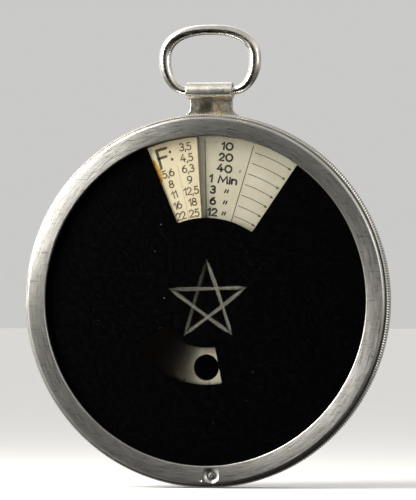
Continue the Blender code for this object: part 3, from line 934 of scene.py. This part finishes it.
def time_scale(ink, line_ink):
    """Exposure times in columns: each column to the left starts one step shorter."""
    rng = random.Random(3)
    height = CARD_H + PRINT
    letters, lines = bmesh.new(), bmesh.new()
    size, weight, ditto_weight, number_left, ditto_left = 1.0, 0.29, 0.23, -1.68, 0.48
    rule, speck_angle, speck_half, speck_wide, arrow_long = 0.12, 14.4, 0.07, 0.2, 15.3
    columns = len(TIMES) - ROWS + 1
    for column in range(columns):
        start = COLUMN_START - COLUMN * column
        radial_line(lines, start, LINE_TOP, LINE_END, rule, height)
        gap, wide = (0.26, 1.14) if column == 0 else (0.18, 0.96)
        centre = start + COLUMN / 2 - 0.5
        for row in range(ROWS):
            text = TIMES[len(TIMES) - ROWS - column + row]
            place = (row_radius(row), centre, height, size)
            if text.endswith('"'):
                left = number_left + 0.2 * (row == ROWS - 2)
                write(letters, text[:-1], *place, weight, left, rng, gap, wide)
                write(letters, '"', *place, ditto_weight, ditto_left, rng)
            else:
                write(letters, text, *place, weight, None, rng, gap, wide)
    middle = row_radius(2)
    radial_line(lines, speck_angle, middle - speck_half, middle + speck_half, speck_wide, height)
    first, far = COLUMN_START + COLUMN, COLUMN_START - COLUMN * (columns - 1)
    radial_line(lines, first, LINE_TOP, LINE_END, rule, height)
    for row in range(ROWS):
        arrow(lines, row_radius(row), first + 1.3, first + 1.3 + arrow_long, height)
        arrow(lines, row_radius(row), far - 17.0, far - 2.0, height)
    printed("time_figures", letters, ink, "case")
    printed("time_lines", lines, line_ink, "case")


def printed(name, bm, ink, body):
    """A flat print on a card, with its faces turned to the front."""
    bm.normal_update()
    bmesh.ops.reverse_faces(bm, faces=[face for face in bm.faces if face.normal.y > 0])
    piece = link(name, mesh_from(bm, name, recalculate=False), ink, body, smooth=0)


def stops_scale(ink, line_ink):
    """The lens stops beside the times, in two columns under a large F."""
    rng = random.Random(8)
    height = STOPS_H + PRINT
    letters, lines = bmesh.new(), bmesh.new()
    size, weight, gap = 1.03, 0.185, 0.17
    right, left, rule = -8.1, -17.2, -12.4
    angle, half_long, wide = STOPS_CHIP
    radial_line(letters, angle, row_radius(5) - half_long, row_radius(5) + half_long, wide, height)
    for row, text in enumerate(("3,5", "4,5", "6,3", "9", "12,5", "18", "25")):
        write(letters, text, row_radius(row), right, height, size, weight, None, rng, gap)
    for row, text in enumerate(("5,6", "8", "11", "16", "22")):
        write(letters, text, row_radius(row + 2), left, height, size, weight, None, rng, gap)
    write(letters, "F:", ROW_TOP - 0.95, -16.4, height, size=2.7, weight=0.42, gap=0.1)
    radial_line(lines, rule, 20.5, LINE_END, 0.07, height)
    printed("stop_figures", letters, ink, "dial_ring")
    printed("stop_lines", lines, line_ink, "dial_ring")


def glue_stain(mat):
    """A smear of old glue at the left edge of the card of stops."""
    rng = random.Random(2)
    points, half_wide, half_long, radius, angle = 28, 0.6, 1.85, 20.3, -21.6
    along = outwards(angle)
    across = clockwise(along)
    spots = []
    for i in range(points):
        turn = tau * i / points
        reach = 1 + rng.uniform(-0.1, 0.1)
        x, z = half_wide * cos(turn) * reach, half_long * sin(turn) * reach
        spots.append(tuple(along * radius + across * x + along * z))
    mesh = plate_mesh("glue_stain", [spots], STOPS_H + 0.004, STOPS_H + 0.02)
    stain = link("glue_stain", mesh, mat, "dial_ring")


# ---- the bow and its tab


def bow_wire(mat):
    """The wire loop, on the CAD bow's centreline: straight in the tab, thick at the cheeks."""
    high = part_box("bow")[1]
    bar, cheek, top = 0.6, 0.9, 0.756
    half_wide = high.x / MM - cheek
    half_tall = (high.z / MM - top - TUBE_Z) / 2
    straight, power = 3.5, 2.45
    points = []
    arch, corner = 96, 24
    for i in range(arch + 1):
        c, s = cos(pi * i / arch), sin(pi * i / arch)
        x = -half_wide * copysign(abs(c) ** (2 / power), c)
        points.append((x, half_tall + half_tall * abs(s) ** (2 / power)))
    quarter = [pi / 2 * i / corner for i in range(1, corner + 1)]
    bend = half_wide - straight
    drop = [(straight + bend * cos(t), half_tall * (1 - sin(t))) for t in quarter]
    points += drop
    points += [(straight * side, 0.0) for side in (0.5, 0, -0.5)]
    points += [(-x, z) for x, z in reversed(drop)]
    curve = bpy.data.curves.new("bow_wire", "CURVE")
    curve.dimensions = "3D"
    curve.bevel_depth = MM
    curve.bevel_resolution = 10
    spline = curve.splines.new("POLY")
    spline.points.add(len(points) - 1)
    spline.use_cyclic_u = True
    for point, (x, z) in zip(spline.points, points):
        point.co = (*flat(x, z + TUBE_Z, TUBE_H), 1)
        if z > half_tall:
            point.radius = top + (cheek - top) * (abs(x) / half_wide) ** 2
        else:
            point.radius = bar + (cheek - bar) * sin(z / half_tall * pi / 2)
    wire = link("bow_wire", curve_surface(curve), mat, "bow")
    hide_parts("bow")


def tab_half_width(z):
    """Half the tab's width at a height over the centre: flared foot, narrow neck, wide roll."""
    neck, flare, shoulder, shoulder_tall = 3.18, 0.85, TUBE_Z - 1.15, 0.28
    if z < GRIP_R + flare:
        drop = min(1.0, (GRIP_R + flare - z) / flare)
        return neck + flare * (1 - sqrt(max(0.0, 1 - drop * drop)))
    step = min(1.0, max(0.0, (z - shoulder) / shoulder_tall))
    return neck + (TAB_HALF - neck) * step


def rolled_tab(mat):
    """The tab: one strip of sheet that rises from the case and rolls round the bow's bar."""
    outer, sheet = 1.22, 0.5
    inner = outer - sheet
    rise_steps, roll_steps, roll_angle, across = 12, 44, 300, 24
    back = TUBE_H - outer
    foot = GRIP_R - 0.55
    spine = []
    for i in range(rise_steps + 1):
        z = foot + (TUBE_Z - foot) * i / rise_steps
        spine.append((back, back + sheet, z, z, z))
    for i in range(1, roll_steps + 1):
        turn = radians(180 - roll_angle * i / roll_steps)
        c, s = cos(turn), sin(turn)
        heights = (TUBE_H + outer * c, TUBE_H + inner * c)
        spine.append((*heights, TUBE_Z + outer * s, TUBE_Z + inner * s, TUBE_Z))
    bm = bmesh.new()
    skins = ([], [])
    for step, (out_h, in_h, out_z, in_z, width_at) in enumerate(spine):
        half = tab_half_width(width_at)
        ragged = 0.03 * sin(step * 1.7) if step > 14 else 0.0
        lift = 0.008 * sin(step * 0.9) if step > 20 else 0.0
        for skin, h, z in ((skins[0], out_h, out_z), (skins[1], in_h, in_z)):
            row = []
            for k in range(across + 1):
                share = 2 * k / across - 1
                x = (half - (ragged if k == across else 0.0)) * share
                row.append(bm.verts.new(flat(x, z, h + lift * (1 - share * share))))
            skin.append(row)
    last = len(spine) - 1
    for i in range(last):
        for k in range(across):
            for skin in skins:
                bm.faces.new((skin[i][k], skin[i + 1][k], skin[i + 1][k + 1], skin[i][k + 1]))
        for k in (0, across):
            bm.faces.new((skins[0][i][k], skins[0][i + 1][k], skins[1][i + 1][k], skins[1][i][k]))
    for i in (0, last):
        for k in range(across):
            bm.faces.new((skins[0][i][k], skins[0][i][k + 1], skins[1][i][k + 1], skins[1][i][k]))
    tab = link("rolled_tab", mesh_from(bm, "rolled_tab"), mat, "case", smooth=40.0)
    soften_edges(tab, 0.07)
    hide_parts("pendant")


def tab_foot(mat):
    """The curved foot that holds the tab to the case wall."""
    spread, low, high = 10.5, 1.5, 4.4
    inner, outer = outer_radius("case_back") + 0.08, outer_radius("case_back") + 0.6
    outline = polar_arc(outer, -spread, spread, 0.75) + polar_arc(inner, spread, -spread, 0.75)
    mesh = plate_mesh("tab_foot", [outline], low, high)
    foot = link("tab_foot", mesh, mat, "case", smooth=30.0)
    soften_edges(foot, 0.1)


# ---- the stage


CAMERA_AZIMUTH = 13.66              # degrees to the right of the dial's axis


def aim(obj, target):
    obj.rotation_mode = "QUATERNION"
    obj.rotation_quaternion = (Vector(target) - obj.location).to_track_quat("-Z", "Y")


def make_camera():
    """A long lens level with the dial, a little to its right."""
    elevation, distance, lens = -0.3, 897.0, 440.5
    focus = Vector((0.6, -FACE_H, 7.43)) * MM
    a, e = radians(CAMERA_AZIMUTH), radians(elevation)
    back = Vector((sin(a) * cos(e), -cos(a) * cos(e), sin(e)))
    data = bpy.data.cameras.new("camera")
    data.sensor_width = 36.0
    data.lens = lens
    data.clip_start, data.clip_end = 0.05, 20.0
    camera = new_object("camera", data)
    camera.location = focus + back * distance * MM
    aim(camera, focus)
    bpy.context.scene.camera = camera


def area_light(name, direction, distance, size, power, colour=(1, 1, 1)):
    """A soft rectangular light, aimed at the dial's centre from a direction."""
    data = bpy.data.lights.new(name, "AREA")
    data.shape = "RECTANGLE"
    data.size, data.size_y = size[0] * MM, size[1] * MM
    data.energy = power
    data.color = colour
    lamp = new_object(name, data)
    lamp.location = Vector(direction).normalized() * distance * MM
    aim(lamp, (0, 0, 0))


def reflected_studio(world, direction):
    """How bright each direction is in the metal: a white left side, and a dimmer right, top and back."""
    facing = radians(CAMERA_AZIMUTH)
    across = (cos(facing), -sin(facing), 0)
    inputs = {0: direction, 1: across}
    aside = add(world, "VectorMath", inputs, operation="DOT_PRODUCT").outputs["Value"]
    _, y, z = separate(world, direction)
    total = remap(world, aside, -0.18, -0.5, 0.02, 0.95, True)
    right_side, ceiling, behind = (aside, 0.45, 0.85, 0.5), (z, 0.15, 0.5, 0.52), (y, 0.15, 0.8, 0.35)
    for value, low, high, strength in (right_side, ceiling, behind):
        part = remap(world, value, low, high, 0.0, strength, True)
        total = plus(world, total, part)
    return times(world, total, remap(world, z, -0.5, 0.0, 0.25, 1.0, True))


def make_world():
    """An even pale backdrop, a bright dome for matt surfaces and a dim one for reflections."""
    world = bpy.data.worlds.new("studio")
    world.use_nodes = True
    bpy.context.scene.world = world
    world.node_tree.nodes.clear()
    direction = add(world, "TexCoord", {}).outputs["Generated"]
    height = separate(world, direction)[2]
    shaded = reflected_studio(world, direction)
    overhead = remap(world, height, -0.05, 0.6, 0.2, 0.92, True)
    backdrop = add(world, "Background", {0: (0.80, 0.795, 0.785, 1), 1: 0.74}).outputs[0]
    matt = add(world, "Background", {0: (1, 0.99, 0.97, 1), 1: overhead}).outputs[0]
    mirror = add(world, "Background", {0: (1, 0.985, 0.95, 1), 1: shaded}).outputs[0]
    rays = add(world, "LightPath", {}).outputs
    lit = add(world, "MixShader", {0: rays["Is Glossy Ray"], 1: matt, 2: mirror}).outputs[0]
    seen = add(world, "MixShader", {0: rays["Is Camera Ray"], 1: lit, 2: backdrop}).outputs[0]
    add(world, "OutputWorld", {"Surface": seen})


def make_floor():
    """A wide floor under the ring, kept out of the metal's reflections as a dark flag would."""
    half_metres, gap = 3.0, 0.02
    bm = bmesh.new()
    bmesh.ops.create_grid(bm, x_segments=8, y_segments=8, size=half_metres)
    floor = new_object("floor", mesh_from(bm, "floor"))
    floor.location.z = cad_box[0].z - gap * MM
    floor.data.materials.append(pale_floor())
    floor.visible_glossy = False


def make_stage():
    scene = bpy.context.scene
    scene.view_settings.view_transform = "Standard"
    make_camera()
    make_world()
    make_floor()
    area_light("key", (-0.74, -0.5, 0.46), 190, (90, 150), 0.8, (1.0, 0.985, 0.95))
    area_light("fill", (0.9, -0.35, 0.25), 330, (120, 160), 0.12)


# ---- assembly


def dress_cad(materials):
    """Gives each CAD node the first material whose key its name starts with."""
    for name, obj in frame["nodes"].items():
        mat = next(m for prefix, m in materials.items() if name.startswith(prefix))
        obj.data.materials.clear()
        obj.data.materials.append(mat)


def main():
    make_stage()
    nickel = brushed_nickel("bezel_brushed_nickel", 0.72, 5.0, 0.3)
    case_nickel = brushed_nickel("case_brushed_nickel", 0.5, 7.0, 0.8)
    bright = polished_nickel()
    steel = turned_metal("turned_steel", (0.56, 0.55, 0.52), (0.36, 0.34, 0.3), 0.3)
    brass = turned_metal("turned_brass", (0.66, 0.49, 0.22), (0.42, 0.29, 0.11), 0.32)
    blackened = black_finish("blackened_brass_finish", (0.008, 0.008, 0.008), 0.6)
    time_card = card_stock("time_card_stock", (0.335, 0.31, 0.245), (0.29, 0.262, 0.19))
    stops_card = card_stock("stops_card_stock", (0.42, 0.365, 0.255), (0.36, 0.3, 0.19))
    black = black_finish("black_film_layer", (0.0004, 0.0004, 0.0005), 0.4, 1.4, 0.0003, 0.02)
    times_ink = printing_ink("times_ink", (0.012, 0.011, 0.01))
    stops_ink = printing_ink("stops_ink", (0.05, 0.038, 0.024))
    rule_ink = printing_ink("rule_ink", (0.03, 0.025, 0.02))
    faint_ink = printing_ink("faint_ink", (0.22, 0.16, 0.09))
    tab_metal = worn_tab()

    dress_cad({
        "case_back": case_nickel, "pendant": tab_metal, "bow": bright, "eyepiece_ring": bright,
        "filter_glass": blue_glass(), "sight_tube": blackened, "dial_pillar": brass,
        "back_screw": steel, "dial_plate": brass,
        "time_card": time_card, "bearing_ring": brass, "retaining_wire": steel, "friction_spring": steel,
        "grip_ring": nickel, "bezel_screw": steel, "bezel": nickel, "cover_glass": thin_glass(),
        "wedge_film": black, "stops_card": stops_card, "glass_retainer": steel,
    })

    case_wall(case_nickel)
    knurled_ring(knurled_nickel())
    bezel_ring(nickel)
    black_layer(black)
    wedge_strip(wedge_gelatine())
    star(star_scratch())
    dust_specks(printing_ink("dust", (0.3, 0.29, 0.27)))
    time_scale(times_ink, rule_ink)
    stops_scale(stops_ink, faint_ink)
    glue_stain(amber_glue())
    bow_wire(bright)
    rolled_tab(tab_metal)
    tab_foot(tab_metal)


main()
